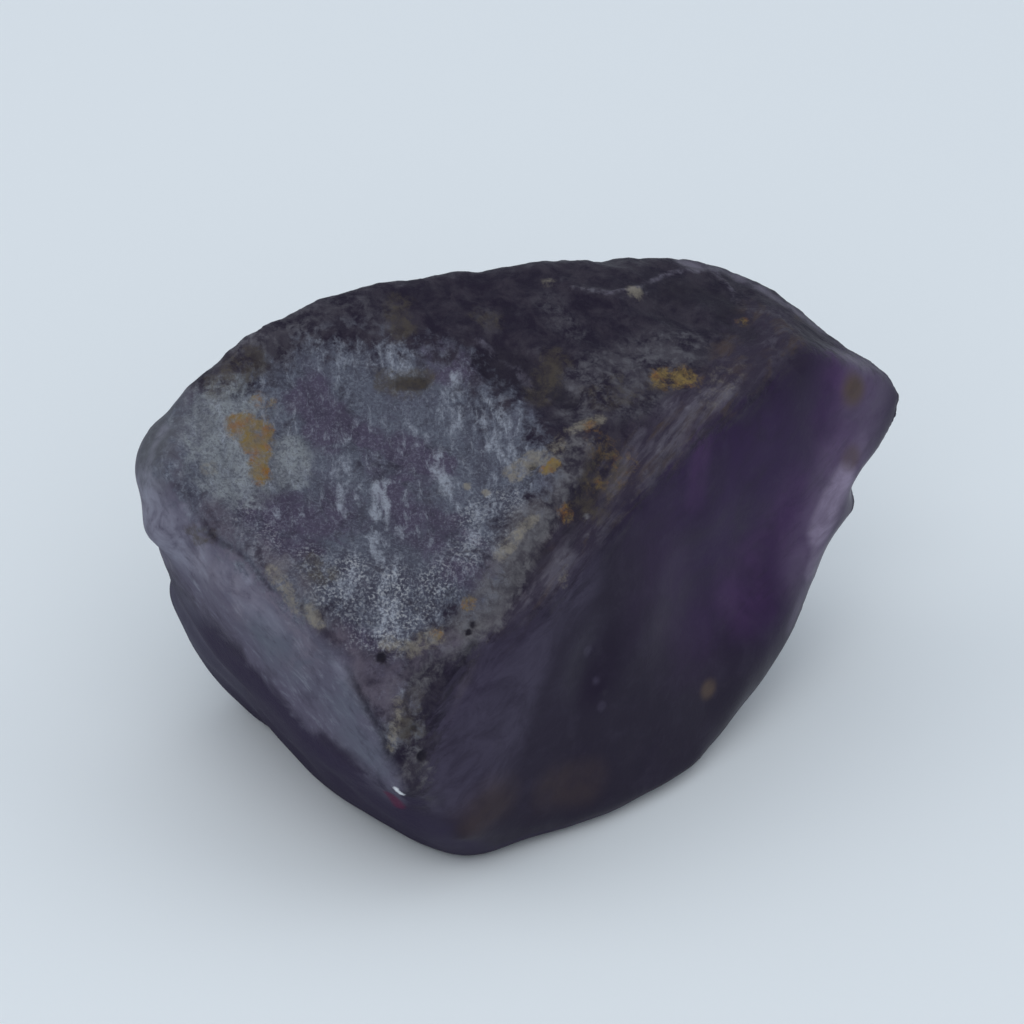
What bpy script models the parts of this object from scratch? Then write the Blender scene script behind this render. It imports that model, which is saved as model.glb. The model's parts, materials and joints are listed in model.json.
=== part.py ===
"""Rough fluorite: one broken lump of fluorspar, as it comes from the vein.

The lump is a single solid, made the way such a piece breaks. The hull of its corners
gives the broad cleavage faces, and knobs are added at the worn left end. Lens-shaped
cutters then strike the shell-like hollows, grooves and notches out of it. Last, the
faces are weathered into swells, chips and steps, each face in its own measure. The
lump stands on a flat cleavage face at z = 0, with the origin under the middle of its
box. Blender works in metres; the sizes written here are in millimetres.
"""

import bmesh
import bpy
from mathutils import Matrix, Vector, noise

MM = 0.001

NAME = "rough_fluorite"
LENGTH = 30.2  # of the finished lump's box, left to right
DEPTH = 22.2  # front to back
HEIGHT = 18.0  # foot to crest
GRAIN = 0.34  # spacing of the points that carry the weathering
TRIANGLES = 9400  # facets left in the finished solid
FOOT_TRIM = 0.15  # thickness the flat foot cleavage takes off the underside
SPECK = 0.01  # slivers smaller than this are closed up
VIOLET_GREY = (0.075, 0.068, 0.105, 1.0)
ROUNDING = 2  # passes that wear the sharp arrises down
SWELL = 0.06  # what the wearing took off, given back all over

# The corners of the lump: x runs to the right, y to the back and z up.
CORNERS = {
    "foot": [
        (-2.3, -8.6, 0.0), (0.6, -7.9, 0.0), (3.4, -6.2, 0.0), (6.9, -4.0, 0.0), (8.0, -1.2, 0.0),
        (8.4, 3.6, 0.0), (4.6, 7.2, 0.0), (-2.0, 7.6, 0.0), (-8.0, 5.4, 0.0),
        (-10.8, 1.8, 0.0), (-9.6, -0.4, 0.0), (-7.4, -3.6, 0.0), (-5.0, -6.6, 0.0),
    ],
    "front_edge": [(-4.3, -11.4, 5.4), (-5.4, -9.8, 8.8), (-4.2, -9.2, 10.4)],
    "brow": [(-6.6, -8.3, 11.1), (-8.4, -7.2, 12.1), (-10.9, -5.6, 13.3)],
    "left_end": [
        (-13.4, -3.9, 13.5), (-14.2, -2.4, 13.9), (-14.4, -1.2, 14.0), (-13.7, -0.5, 15.1),
        (-14.0, -2.9, 11.9), (-12.9, -3.4, 10.8), (-13.2, 0.6, 6.6),
    ],
    "keel": [
        (-12.6, -2.6, 8.6), (-11.8, -3.8, 6.7), (-10.4, -5.2, 6.1), (-8.3, -8.0, 5.6), (-6.2, -9.8, 5.0),
    ],
    "left_flank": [(-13.4, 1.8, 4.6), (-12.6, 1.9, 2.2)],
    "ridge": [
        (-2.7, -8.4, 10.7), (-1.2, -6.4, 11.9), (0.9, -4.4, 13.0),
        (2.0, -2.7, 14.3), (3.2, -0.6, 15.2), (5.4, 2.0, 15.5),
    ],
    "shoulder": [
        (-1.2, -9.8, 4.2), (-0.1, -8.1, 9.8), (1.7, -6.3, 10.9), (3.4, -4.5, 11.8),
        (6.7, -0.8, 13.0), (8.5, 1.6, 14.7), (11.9, 5.0, 14.3),
    ],
    "right_face": [
        (-1.8, -10.3, 2.2), (0.3, -8.6, 1.4), (3.4, -5.9, 0.5),
        (7.1, -3.4, 0.5), (8.6, -0.8, 0.7), (10.6, 1.4, 2.4), (12.1, 3.3, 4.8), (13.5, 5.2, 7.1),
    ],
    "horn": [(15.9, 7.9, 10.6), (15.4, 8.0, 11.3), (12.8, 9.1, 12.3)],
    "crest": [
        (10.8, 9.7, 13.4), (8.5, 10.7, 14.9), (7.2, 10.4, 15.5), (5.2, 9.1, 16.4), (1.9, 7.4, 17.4),
        (-2.8, 6.2, 17.8), (-5.9, 4.9, 18.0), (-9.0, 3.5, 17.8), (-10.7, 2.1, 17.6), (-11.7, 0.6, 16.5),
        (-12.9, 0.2, 16.0),
    ],
    "back": [(-11.0, 6.0, 8.0), (-4.0, 9.6, 9.0), (3.0, 11.2, 8.0), (9.0, 10.6, 7.0), (12.0, 8.4, 6.4)],
}

# Which way the broad faces look.
TOP_FACE = Vector((0.05, -0.52, 0.85))
PLATEAU = Vector((0.15, -0.25, 0.95))
BAND = Vector((0.38, -0.62, 0.68))
RIGHT_FACE = Vector((0.70, -0.70, 0.12))
BROW_FACE = Vector((-0.66, -0.75, -0.04))
BACK_FACE = Vector((0.05, 0.98, 0.15))
RIDGE_RUN = Vector((4.4, 5.3, 3.6)).normalized()
GROOVE_RUN = Vector((2.6, 1.7, 2.0))
RIGHTWARD = Vector((1.0, 0.0, 0.0))
BACKWARD = Vector((0.0, 1.0, 0.0))

# Knobs: where, and the half sizes along x, y and z.
KNOBS = [
    ("knob_top_left", (-12.1, -1.3, 13.6), (2.4, 3.1, 2.0)),
    ("knob_left", (-12.4, -2.9, 12.2), (1.9, 1.6, 1.5)),
]

# Lens cutters: a point on the face, the way the face looks, the way the lens runs, how
# far it bites, and its half sizes along the run, across it and through the face.
LENSES = [
    ("top_scoop", (-4.9, -2.6, 14.7), Vector((0.03, -0.44, 0.90)), RIGHTWARD, 0.95, (9.8, 8.1, 3.0)),
    ("plateau_groove", (0.6, 0.9, 16.0), PLATEAU, Vector((1.0, -0.8, 0.0)), 0.7, (4.8, 1.9, 1.9)),
    ("crest_hollow", (7.0, 6.0, 16.0), PLATEAU, Vector((1.0, -0.1, 0.0)), 0.5, (2.7, 1.8, 1.3)),
    ("plateau_dish", (2.4, 4.4, 17.0), PLATEAU, Vector((1.0, 0.3, 0.0)), 0.35, (5.2, 4.2, 3.0)),
    ("band_ledge", (3.4, -2.6, 13.5), BAND, RIDGE_RUN, 0.22, (7.5, 0.9, 1.0)),
    ("band_step", (1.0, -5.6, 12.0), BAND, RIDGE_RUN, 0.2, (5.0, 0.7, 0.8)),
    ("brow_crevice", (-9.6, -7.6, 10.6), BROW_FACE, Vector((5.0, -3.6, -3.4)), 0.22, (4.6, 0.6, 0.7)),
    ("brow_face_hollow", (-9.0, -7.6, 8.6), BROW_FACE, Vector((5.0, -4.2, -3.6)), 0.3, (7.0, 2.6, 3.0)),
    ("right_face_shell", (8.6, -0.1, 8.0), RIGHT_FACE, Vector((1.0, 1.0, 0.4)), 0.5, (12.0, 8.0, 7.0)),
    ("right_face_scar", (2.8, -5.7, 7.2), RIGHT_FACE, Vector((0.6, 0.6, 1.0)), 0.25, (2.6, 1.3, 1.4)),
    ("front_scar", (-3.4, -10.9, 3.9), Vector((-0.1, -0.85, -0.5)), RIGHTWARD, 0.6, (2.6, 2.0, 2.2)),
    ("front_groove", (-2.1, -9.1, 9.3), Vector((0.3, -0.85, 0.4)), GROOVE_RUN, 0.25, (2.6, 0.5, 0.7)),
    ("left_notch", (-14.7, -2.4, 13.2), Vector((-1.0, -0.2, -0.1)), BACKWARD, 0.35, (2.2, 0.6, 0.9)),
    ("left_nick", (-13.6, -2.4, 10.6), Vector((-1.0, -0.3, -0.1)), BACKWARD, 0.4, (2.4, 0.9, 1.2)),
    ("left_dent", (-11.9, 0.6, 16.7), Vector((-0.6, 0.1, 0.8)), BACKWARD, 0.35, (2.6, 0.7, 0.9)),
    ("left_gap", (-13.8, -0.2, 15.2), Vector((-0.8, 0.1, 0.6)), BACKWARD, 0.35, (2.6, 0.6, 0.8)),
    ("crest_dip", (3.9, 8.5, 16.7), Vector((0.1, 0.3, 0.95)), BACKWARD, 0.35, (2.8, 1.2, 1.3)),
    ("right_notch", (13.9, 5.6, 7.8), Vector((0.95, -0.2, -0.2)), BACKWARD, 0.62, (2.4, 0.8, 1.0)),
    ("back_shell", (3.4, 10.8, 8.4), BACK_FACE, Vector((1.0, 0.0, 0.3)), 1.1, (7.6, 5.4, 5.0)),
    ("back_scoop", (-7.0, 8.2, 9.6), Vector((-0.3, 0.9, 0.2)), Vector((1.0, 0.3, -0.4)), 0.9, (5.0, 3.6, 3.4)),
    ("back_chip", (9.4, 9.6, 4.8), Vector((0.5, 0.7, -0.5)), Vector((1.0, -0.7, 0.0)), 0.6, (3.0, 2.0, 2.0)),
    ("left_shell", (-13.3, 1.8, 8.4), Vector((-1.0, -0.1, -0.1)), BACKWARD, 0.5, (4.4, 3.2, 2.8)),
]


def hull_of(corners):
    """The corners' convex hull as a mesh."""
    bm = bmesh.new()
    for group in corners.values():
        for corner in group:
            bm.verts.new(Vector(corner) * MM)
    hull = bmesh.ops.convex_hull(bm, input=bm.verts)
    inside = [v for v in hull["geom_interior"] if isinstance(v, bmesh.types.BMVert)]
    bmesh.ops.delete(bm, geom=inside, context="VERTS")
    mesh = bpy.data.meshes.new(NAME)
    bm.to_mesh(mesh)
    bm.free()
    return mesh


def add_ball(name, placement, half_sizes, collection):
    """A ball stretched to its three half sizes and put in place."""
    bm = bmesh.new()
    bmesh.ops.create_icosphere(bm, subdivisions=4, radius=1.0)
    stretch = Matrix.Diagonal(Vector(half_sizes) * MM).to_4x4()
    bmesh.ops.transform(bm, matrix=placement @ stretch, verts=bm.verts)
    mesh = bpy.data.meshes.new(name)
    bm.to_mesh(mesh)
    bm.free()
    ball = bpy.data.objects.new(name, mesh)
    collection.objects.link(ball)
    ball.hide_render = True
    ball.display_type = "WIRE"
    return ball


def lens_placement(point, facing, run, bite, thickness):
    """Where a lens lies: its rim just above the face, its belly biting into it."""
    out = facing.normalized()
    along = (run - out * run.dot(out)).normalized()
    across = out.cross(along)
    turn = Matrix((along, across, out)).transposed().to_4x4()
    centre = Vector(point) + out * (thickness - bite)
    return Matrix.Translation(centre * MM) @ turn


def combine(stone, tool, operation):
    """One Boolean step, kept as a modifier until the lump is remeshed."""
    step = stone.modifiers.new(tool.name, "BOOLEAN")
    step.operation = operation
    step.solver = "EXACT"
    step.object = tool


def toward(normal, facing, spread):
    """1 where a point looks the given way, falling to 0 beyond the spread."""
    return max(0.0, min(1.0, (normal.dot(facing.normalized()) - spread) / (1.0 - spread) * 2.0))


def stretched(point, run, ratio):
    """The point squeezed along a run, so that noise is drawn out into streaks."""
    return point - run * point.dot(run) * (1.0 - 1.0 / ratio)


def weathering(point, normal):
    """How far the surface stands out (+) or in (-) at a point, in millimetres."""
    top = toward(normal, TOP_FACE, 0.93)
    band = toward(normal, BAND, 0.93)
    right = toward(normal, RIGHT_FACE, 0.90)
    brow = toward(normal, BROW_FACE, 0.85)
    rough = 1.0 - 0.55 * right - 0.25 * top - 0.5 * brow
    height = SWELL + 0.22 * noise.noise(point / 5.0)
    height += 0.24 * rough * noise.noise(point / 2.2 + Vector((7.0, 3.0, 1.0)))
    chips = noise.ridged_multi_fractal(point / 3.0, 0.9, 2.1, 3, 1.0, 2.0)
    height -= 0.10 * rough * (chips - 1.0)
    height += 0.16 * band * noise.noise(stretched(point, RIDGE_RUN, 5.0) / 0.8)
    height += 0.07 * top * noise.noise(stretched(point, Vector((0.3, -0.8, 0.5)).normalized(), 3.0) / 1.0)
    return height


def weather(mesh):
    """Wear the arrises, then push every point in or out along its own normal."""
    bm = bmesh.new()
    bm.from_mesh(mesh)
    for _ in range(ROUNDING):
        bmesh.ops.smooth_vert(
            bm, verts=bm.verts, factor=0.5, use_axis_x=True, use_axis_y=True, use_axis_z=True
        )
    bm.normal_update()
    moves = [(v, v.normal.copy(), weathering(v.co / MM, v.normal)) for v in bm.verts]
    for vert, normal, height in moves:
        vert.co += normal * height * MM
    bm.to_mesh(mesh)
    bm.free()


def settled(obj):
    """The object's mesh with its modifiers worked in."""
    view = bpy.context.evaluated_depsgraph_get()
    return bpy.data.meshes.new_from_object(obj.evaluated_get(view))


def cleave_foot(mesh):
    """Cut the underside off flat, close it and stand it on z = 0."""
    bm = bmesh.new()
    bm.from_mesh(mesh)
    low = min(v.co.z for v in bm.verts) + FOOT_TRIM * MM
    everything = bm.verts[:] + bm.edges[:] + bm.faces[:]
    cut = bmesh.ops.bisect_plane(
        bm,
        geom=everything,
        dist=1e-6,
        plane_co=(0.0, 0.0, low),
        plane_no=(0.0, 0.0, -1.0),
        clear_outer=True,
    )
    rim = [e for e in cut["geom_cut"] if isinstance(e, bmesh.types.BMEdge)]
    bmesh.ops.contextual_create(bm, geom=rim)
    bmesh.ops.triangulate(bm, faces=bm.faces)
    bmesh.ops.dissolve_degenerate(bm, edges=bm.edges, dist=SPECK * MM)
    bmesh.ops.triangulate(bm, faces=bm.faces)
    bmesh.ops.recalc_face_normals(bm, faces=bm.faces)
    bm.to_mesh(mesh)
    bm.free()


def fit_box(mesh):
    """Bring the box to its stated size, with the origin under its middle."""
    low = [min(v.co[axis] for v in mesh.vertices) for axis in range(3)]
    high = [max(v.co[axis] for v in mesh.vertices) for axis in range(3)]
    middle = Vector(((low[0] + high[0]) / 2.0, (low[1] + high[1]) / 2.0, low[2]))
    wanted = [size * MM for size in (LENGTH, DEPTH, HEIGHT)]
    growth = [wanted[axis] / (high[axis] - low[axis]) for axis in range(3)]
    mesh.transform(Matrix.Diagonal(growth).to_4x4() @ Matrix.Translation(-middle))


def fluorite():
    """Dark violet fluorspar with a frosted skin."""
    material = bpy.data.materials.new("fluorite")
    material.use_nodes = True
    shader = material.node_tree.nodes["Principled BSDF"]
    shader.inputs["Base Color"].default_value = VIOLET_GREY
    shader.inputs["Roughness"].default_value = 0.5
    shader.inputs["Metallic"].default_value = 0.0
    return material


for obj in list(bpy.data.objects):
    bpy.data.objects.remove(obj)
scene = bpy.context.scene
lump = bpy.data.collections.new("rough_fluorite_lump")
cutters = bpy.data.collections.new("cutters")
scene.collection.children.link(lump)
scene.collection.children.link(cutters)

stone = bpy.data.objects.new(NAME, hull_of(CORNERS))
lump.objects.link(stone)
for name, centre, half_sizes in KNOBS:
    knob = add_ball(name, Matrix.Translation(Vector(centre) * MM), half_sizes, cutters)
    combine(stone, knob, "UNION")
for name, point, facing, run, bite, half_sizes in LENSES:
    placement = lens_placement(point, facing, run, bite, half_sizes[2])
    combine(stone, add_ball(name, placement, half_sizes, cutters), "DIFFERENCE")
grain = stone.modifiers.new("grain", "REMESH")
grain.mode = "VOXEL"
grain.voxel_size = GRAIN * MM
weathered = settled(stone)
weather(weathered)
stone.modifiers.clear()
stone.data = weathered
thin = stone.modifiers.new("thin", "DECIMATE")
thin.use_collapse_triangulate = True
thin.ratio = TRIANGLES / (2.0 * len(weathered.polygons))
stone.data = settled(stone)
stone.modifiers.clear()
cleave_foot(stone.data)
fit_box(stone.data)
stone.data.materials.append(fluorite())
print("rough fluorite:", len(stone.data.polygons), "triangles")
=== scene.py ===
# %% [markdown]
# # A lump of rough fluorite
#
# Fluorite, or fluorspar, is a soft glassy mineral that splits along flat planes. This
# lump was broken out of a vein and left as it came. It has a frosted face on top, a
# smooth brow that leans over on the left, a dark lumpy shoulder behind, a steep glassy
# violet face on the right, and a streaked band where the glass meets the shoulder. The
# construction model already has the lump's facets, hollows and knobs. This lesson gives
# it its skin: first marks are drawn on the stone, then the marks steer the fine relief,
# and last they steer one material that changes from frost to glass across the stone.

# %% Load the construction model
import json
import math

import bpy
import numpy as np
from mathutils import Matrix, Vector

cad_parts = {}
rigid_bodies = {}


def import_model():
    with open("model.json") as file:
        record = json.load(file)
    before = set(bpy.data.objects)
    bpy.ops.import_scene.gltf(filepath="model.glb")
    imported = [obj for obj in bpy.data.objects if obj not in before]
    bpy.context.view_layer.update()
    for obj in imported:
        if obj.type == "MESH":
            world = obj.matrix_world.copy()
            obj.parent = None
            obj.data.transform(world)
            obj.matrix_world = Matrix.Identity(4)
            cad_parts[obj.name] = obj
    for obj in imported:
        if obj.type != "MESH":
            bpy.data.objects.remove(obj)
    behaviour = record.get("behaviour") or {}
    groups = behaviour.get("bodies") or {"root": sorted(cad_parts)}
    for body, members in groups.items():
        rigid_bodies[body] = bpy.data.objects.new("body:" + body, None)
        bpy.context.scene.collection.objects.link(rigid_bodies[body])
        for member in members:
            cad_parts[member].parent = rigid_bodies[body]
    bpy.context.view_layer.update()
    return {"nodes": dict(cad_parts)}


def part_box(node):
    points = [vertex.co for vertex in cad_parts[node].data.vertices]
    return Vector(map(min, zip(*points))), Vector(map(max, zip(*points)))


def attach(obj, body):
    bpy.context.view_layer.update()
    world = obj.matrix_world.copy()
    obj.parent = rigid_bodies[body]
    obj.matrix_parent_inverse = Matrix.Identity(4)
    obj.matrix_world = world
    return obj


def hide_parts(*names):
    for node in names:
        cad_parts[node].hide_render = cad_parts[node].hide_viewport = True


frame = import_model()
MM = 0.001
low, high = (Vector(corner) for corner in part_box("rough_fluorite"))
print("lump, mm:", [round(side / MM, 1) for side in (high - low)])


# %% [markdown]
# Every place on the stone is given as three shares of its box: how far across from the
# left end, how far back from the front, and how far up from the foot. A place written
# this way stays on the same spot of the stone if the model is ever made larger.


# %% Places as shares of the box
def at(across, back, up):
    """The point at these shares of the lump's box."""
    span = high - low
    return Vector((low.x + span.x * across, low.y + span.y * back, low.z + span.z * up))


print("middle of the top face, mm:", [round(v / MM, 1) for v in at(0.33, 0.35, 0.75)])

# %% [markdown]
# ## The camera
#
# The lump is small, about as long as the top joint of a thumb, so it is looked at
# through a long lens from thirty centimetres away. The camera stands in front, raised
# 35 degrees above the table. It is placed with one aim point and one distance, which is
# easier to correct than three coordinates and three angles.

# %% Set up the camera
CAMERA_HEIGHT_ANGLE = math.radians(35)
CAMERA_DISTANCE = 0.300
FIELD_WIDTH = 0.03994  # width of the view where the camera is aimed
SENSOR_WIDTH = 36  # millimetres, as Blender gives lenses and sensors
aim = at(0.4845, 0.509, 0.587)
toward_camera = Vector((0, -math.cos(CAMERA_HEIGHT_ANGLE), math.sin(CAMERA_HEIGHT_ANGLE)))
bpy.ops.object.camera_add(location=aim + toward_camera * CAMERA_DISTANCE)
camera = bpy.context.active_object
camera.name = "camera"
camera.rotation_euler = (-toward_camera).to_track_quat("-Z", "Y").to_euler()
camera.data.sensor_width = SENSOR_WIDTH
camera.data.lens = SENSOR_WIDTH * CAMERA_DISTANCE / FIELD_WIDTH
camera.data.clip_start = 0.01
bpy.context.scene.camera = camera
print("lens, mm:", round(camera.data.lens))

# %% [markdown]
# ## The table and the light
#
# The stone stands on a sheet of pale, slightly blue paper. One flat square is enough.
# It is an object of its own, not attached to the stone's body.

# %% Lay the table
PAPER_COLOUR = (0.815, 0.860, 0.905, 1)
bpy.ops.object.select_all(action="DESELECT")
bpy.ops.mesh.primitive_plane_add(size=2.0, location=(0, 0, 0))
table = bpy.context.active_object
table.name = "table"
paper = bpy.data.materials.new("pale_paper")
paper.use_nodes = True
paper_shader = paper.node_tree.nodes["Principled BSDF"]
paper_shader.inputs["Base Color"].default_value = PAPER_COLOUR
paper_shader.inputs["Roughness"].default_value = 0.9
paper_shader.inputs["Specular IOR Level"].default_value = 0.2
table.data.materials.append(paper)
print("table laid")

# %% [markdown]
# Two soft lamps stand one on each side. Each throws a wide soft shadow to the other
# side, so the stone has a shadow left and right but none in front. A lamp overhead, a
# lamp above the camera and the light of a pale room keep the shadows pale. Area lamps
# are used, because the size of a lamp sets how soft its shadow is.


# %% Hang the lights
def soft_box(name, location, size, watts, colour):
    """A square lamp, aimed at the stone."""
    bpy.ops.object.light_add(type="AREA", location=location)
    lamp = bpy.context.active_object
    lamp.name = name
    lamp.data.size = size
    lamp.data.energy = watts
    lamp.data.color = colour
    lamp.rotation_euler = (aim - Vector(location)).to_track_quat("-Z", "Y").to_euler()


LEFT_WATTS = 0.25
RIGHT_WATTS = 0.12
FRONT_WATTS = 0.52
TOP_WATTS = 0.25
LAMP_COLOUR = (1.0, 0.97, 0.92)
WHITE = (1.0, 1.0, 1.0)
ROOM_COLOUR = (0.83, 0.915, 1.0, 1)
ROOM_STRENGTH = 0.57
soft_box("left_lamp", (-0.34, 0.02, 0.30), 0.30, LEFT_WATTS, LAMP_COLOUR)
soft_box("right_lamp", (0.34, 0.02, 0.30), 0.30, RIGHT_WATTS, LAMP_COLOUR)
soft_box("front_lamp", (0.0, -0.30, 0.34), 0.36, FRONT_WATTS, LAMP_COLOUR)
soft_box("top_lamp", (0.0, 0.15, 0.48), 0.40, TOP_WATTS, WHITE)
room = bpy.data.worlds.new("pale_room")
bpy.context.scene.world = room
room.use_nodes = True
room_light = room.node_tree.nodes["Background"]
room_light.inputs["Color"].default_value = ROOM_COLOUR
room_light.inputs["Strength"].default_value = ROOM_STRENGTH
bpy.context.scene.view_settings.view_transform = "Standard"
print("lamps, W:", round(LEFT_WATTS + RIGHT_WATTS + FRONT_WATTS + TOP_WATTS, 2))

# %% [markdown]
# ## The skin of the stone
#
# The construction model has facets about as wide as a grain of sugar. The skin starts
# as a copy of it, so that the two can never part. The copy's loose triangles are merged,
# then a voxel remesh lays an even net of points a sixth of a millimetre apart, and a
# smooth pass melts the facets into worn stone. Sculpting by hand would give the same
# relief but could not be repeated, so textures push the points in and out instead.

# %% Copy the block and lay an even net over it
SKIN_GRAIN = 0.156 * MM
bpy.ops.object.select_all(action="DESELECT")
block = frame["nodes"]["rough_fluorite"]
block.select_set(True)
bpy.context.view_layer.objects.active = block
bpy.ops.object.duplicate()
stone = bpy.context.active_object
stone.name = "weathered_stone"
stone.parent = None
bpy.ops.object.mode_set(mode="EDIT")
bpy.ops.mesh.select_all(action="SELECT")
bpy.ops.mesh.remove_doubles(threshold=1e-6)
bpy.ops.object.mode_set(mode="OBJECT")
net = stone.modifiers.new("net", "REMESH")
net.mode = "VOXEL"
net.voxel_size = SKIN_GRAIN
bpy.ops.object.modifier_apply(modifier=net.name)
melt = stone.modifiers.new("melt", "SMOOTH")
melt.factor = 0.5
melt.iterations = 9
bpy.ops.object.modifier_apply(modifier=melt.name)
print("points in the skin:", len(stone.data.vertices))

# %% [markdown]
# ## Reading the skin
#
# The marks need to know where each point of the skin is and which way it looks. The way
# it looks is averaged over its neighbours first, so that small bumps don't confuse it.


# %% Read the skin's points and where they look
LOOK_ROUNDS = 40


def soften(values, rounds):
    """Each point's value averaged with its neighbours', a number of times over."""
    mesh = stone.data
    ends = np.empty(len(mesh.edges) * 2, dtype=np.int64)
    mesh.edges.foreach_get("vertices", ends)
    a, b = ends[0::2], ends[1::2]
    share = np.bincount(ends, minlength=len(mesh.vertices)).astype(float)
    for _ in range(rounds):
        total = np.zeros_like(values)
        np.add.at(total, a, values[b])
        np.add.at(total, b, values[a])
        values = 0.5 * values + 0.5 * total / share[:, None]
    return values


def read_points():
    """The skin's points and normals, as two tables of x, y and z."""
    mesh = stone.data
    points = np.empty(len(mesh.vertices) * 3)
    mesh.vertices.foreach_get("co", points)
    normals = np.empty(len(mesh.vertices) * 3)
    mesh.vertex_normals.foreach_get("vector", normals)
    return points.reshape(-1, 3), normals.reshape(-1, 3)


points, normals = read_points()
broad = soften(normals, LOOK_ROUNDS)
broad /= np.linalg.norm(broad, axis=1)[:, None]
print("mean upward look:", round(float(broad[:, 2].mean()), 3))


# %% [markdown]
# ## Drawing marks on the stone
#
# A face's outline is a ring of places, drawn on the front of the stone as if on a sheet
# of glass held before it. A seam, a stain or a patch is a stroke: a line of places with
# a width, like one pull of a brush. Painting an image would look the same, but strokes
# are easier to move and have no resolution. Both need an easy slope, to fade at the
# rim, and a distance to a straight line.


# %% Slopes and distances
def ramp(values, start, end):
    """0 before start, 1 after end, and an easy slope between."""
    t = np.clip((values - start) / (end - start), 0, 1)
    return t * t * (3 - 2 * t)


def gap_to(spots, start, end):
    """How far each spot is from the straight line between two places."""
    side = end - start
    share = np.clip((spots - start) @ side / max(side @ side, 1e-9), 0, 1)
    return np.linalg.norm(spots - start - share[:, None] * side, axis=1)


print("half way up a slope:", float(ramp(0.5, 0, 1)))

# %% [markdown]
# For a ring, each point of the skin is first moved onto the sheet of glass. A point is
# inside when a line drawn from it to the right crosses the ring's sides an odd number
# of times. The mark fades over the rim, and where the stone turns away from the front.

# %% Rings
EDGE_ON = 0.15  # a ring fades this far to either side of where the stone turns edge-on


def on_glass(spots):
    """Spots as seen from the front, across and up the view, in millimetres."""
    up_view = spots[:, 1] * math.sin(CAMERA_HEIGHT_ANGLE) + spots[:, 2] * math.cos(CAMERA_HEIGHT_ANGLE)
    return np.stack([spots[:, 0], up_view], axis=1) / MM


def inside(ring, fade):
    """1 inside a ring of places, easing to 0 across its rim, on the front of the stone."""
    seen = on_glass(points)
    corners = on_glass(np.array([at(*place) for place in ring]))
    nearest = np.full(len(seen), np.inf)
    within = np.zeros(len(seen), dtype=bool)
    for start, end in zip(corners, np.roll(corners, -1, axis=0)):
        nearest = np.minimum(nearest, gap_to(seen, start, end))
        spans = (start[1] > seen[:, 1]) != (end[1] > seen[:, 1])
        rise = end[1] - start[1] or 1e-9
        meets = start[0] + (seen[:, 1] - start[1]) * (end[0] - start[0]) / rise
        within ^= spans & (seen[:, 0] < meets)
    facing = ramp(broad @ np.array(toward_camera), -EDGE_ON, EDGE_ON)
    return ramp(np.where(within, nearest, -nearest), -fade, fade) * facing


print("the stone on the glass, mm:", np.round(np.ptp(on_glass(points), axis=0), 1))

# %% [markdown]
# A stroke is measured in space, so it can also go where the front view can't see. It is
# at full strength near its line and falls to nothing at its radius. Where strokes of
# one kind overlap, the stronger one counts.


# %% Strokes
def stroke(line, radius, core=0.25):
    """1 along a line of places, falling to 0 at the radius, in millimetres."""
    stops = np.array([at(*place) for place in line]) / MM
    nearest = np.full(len(points), np.inf)
    ends = stops[1:] if len(stops) > 1 else stops  # a line of one place is a dot
    for start, end in zip(stops, ends):
        nearest = np.minimum(nearest, gap_to(points / MM, start, end))
    return 1 - ramp(nearest, radius * core, radius)


def strokes(lines):
    """All the strokes of one kind together: each has a radius, a strength and a line."""
    mark = np.zeros(len(points))
    for radius, strength, line in lines:
        mark = np.maximum(mark, strength * stroke(line, radius))
    return mark


print("points in a dot of 2 mm at the front:", int((stroke([(0.34, 0.01, 0.30)], 2.0) > 0).sum()))

# %% [markdown]
# Each mark is kept twice: as a vertex group, which modifiers read, and as an attribute,
# which materials read. A group takes points in batches of one weight, so its weights
# are rounded to sixteen steps. The attribute keeps every value as it is.

# %% Keep a mark
GROUP_STEPS = 16


def keep(name, values):
    """Store a mark as a vertex group and as an attribute of the same name."""
    group = stone.vertex_groups.new(name=name + "_group")
    for step in range(1, GROUP_STEPS + 1):
        chosen = np.nonzero(np.round(values * GROUP_STEPS) == step)[0]
        group.add([int(i) for i in chosen], step / GROUP_STEPS, "REPLACE")
    attribute = stone.data.attributes.new(name, "FLOAT", "POINT")
    attribute.data.foreach_set("value", values.astype(np.float32))
    print(f"{name}: {100 * values.mean():.0f}% of the skin")


print("steps in a vertex group:", GROUP_STEPS)

# %% [markdown]
# ## The faces
#
# Six kinds of surface share the stone: the frosted top, the smooth brow, the dark belly
# below it, the glassy face, the rock of the shoulder, which is whatever those four leave
# over, and the streaked band, which lies on the rock beside the glassy face. Five rings
# follow their borders. A ring fades where the stone turns away, so strokes take the brow
# and the belly round the left end.

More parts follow.
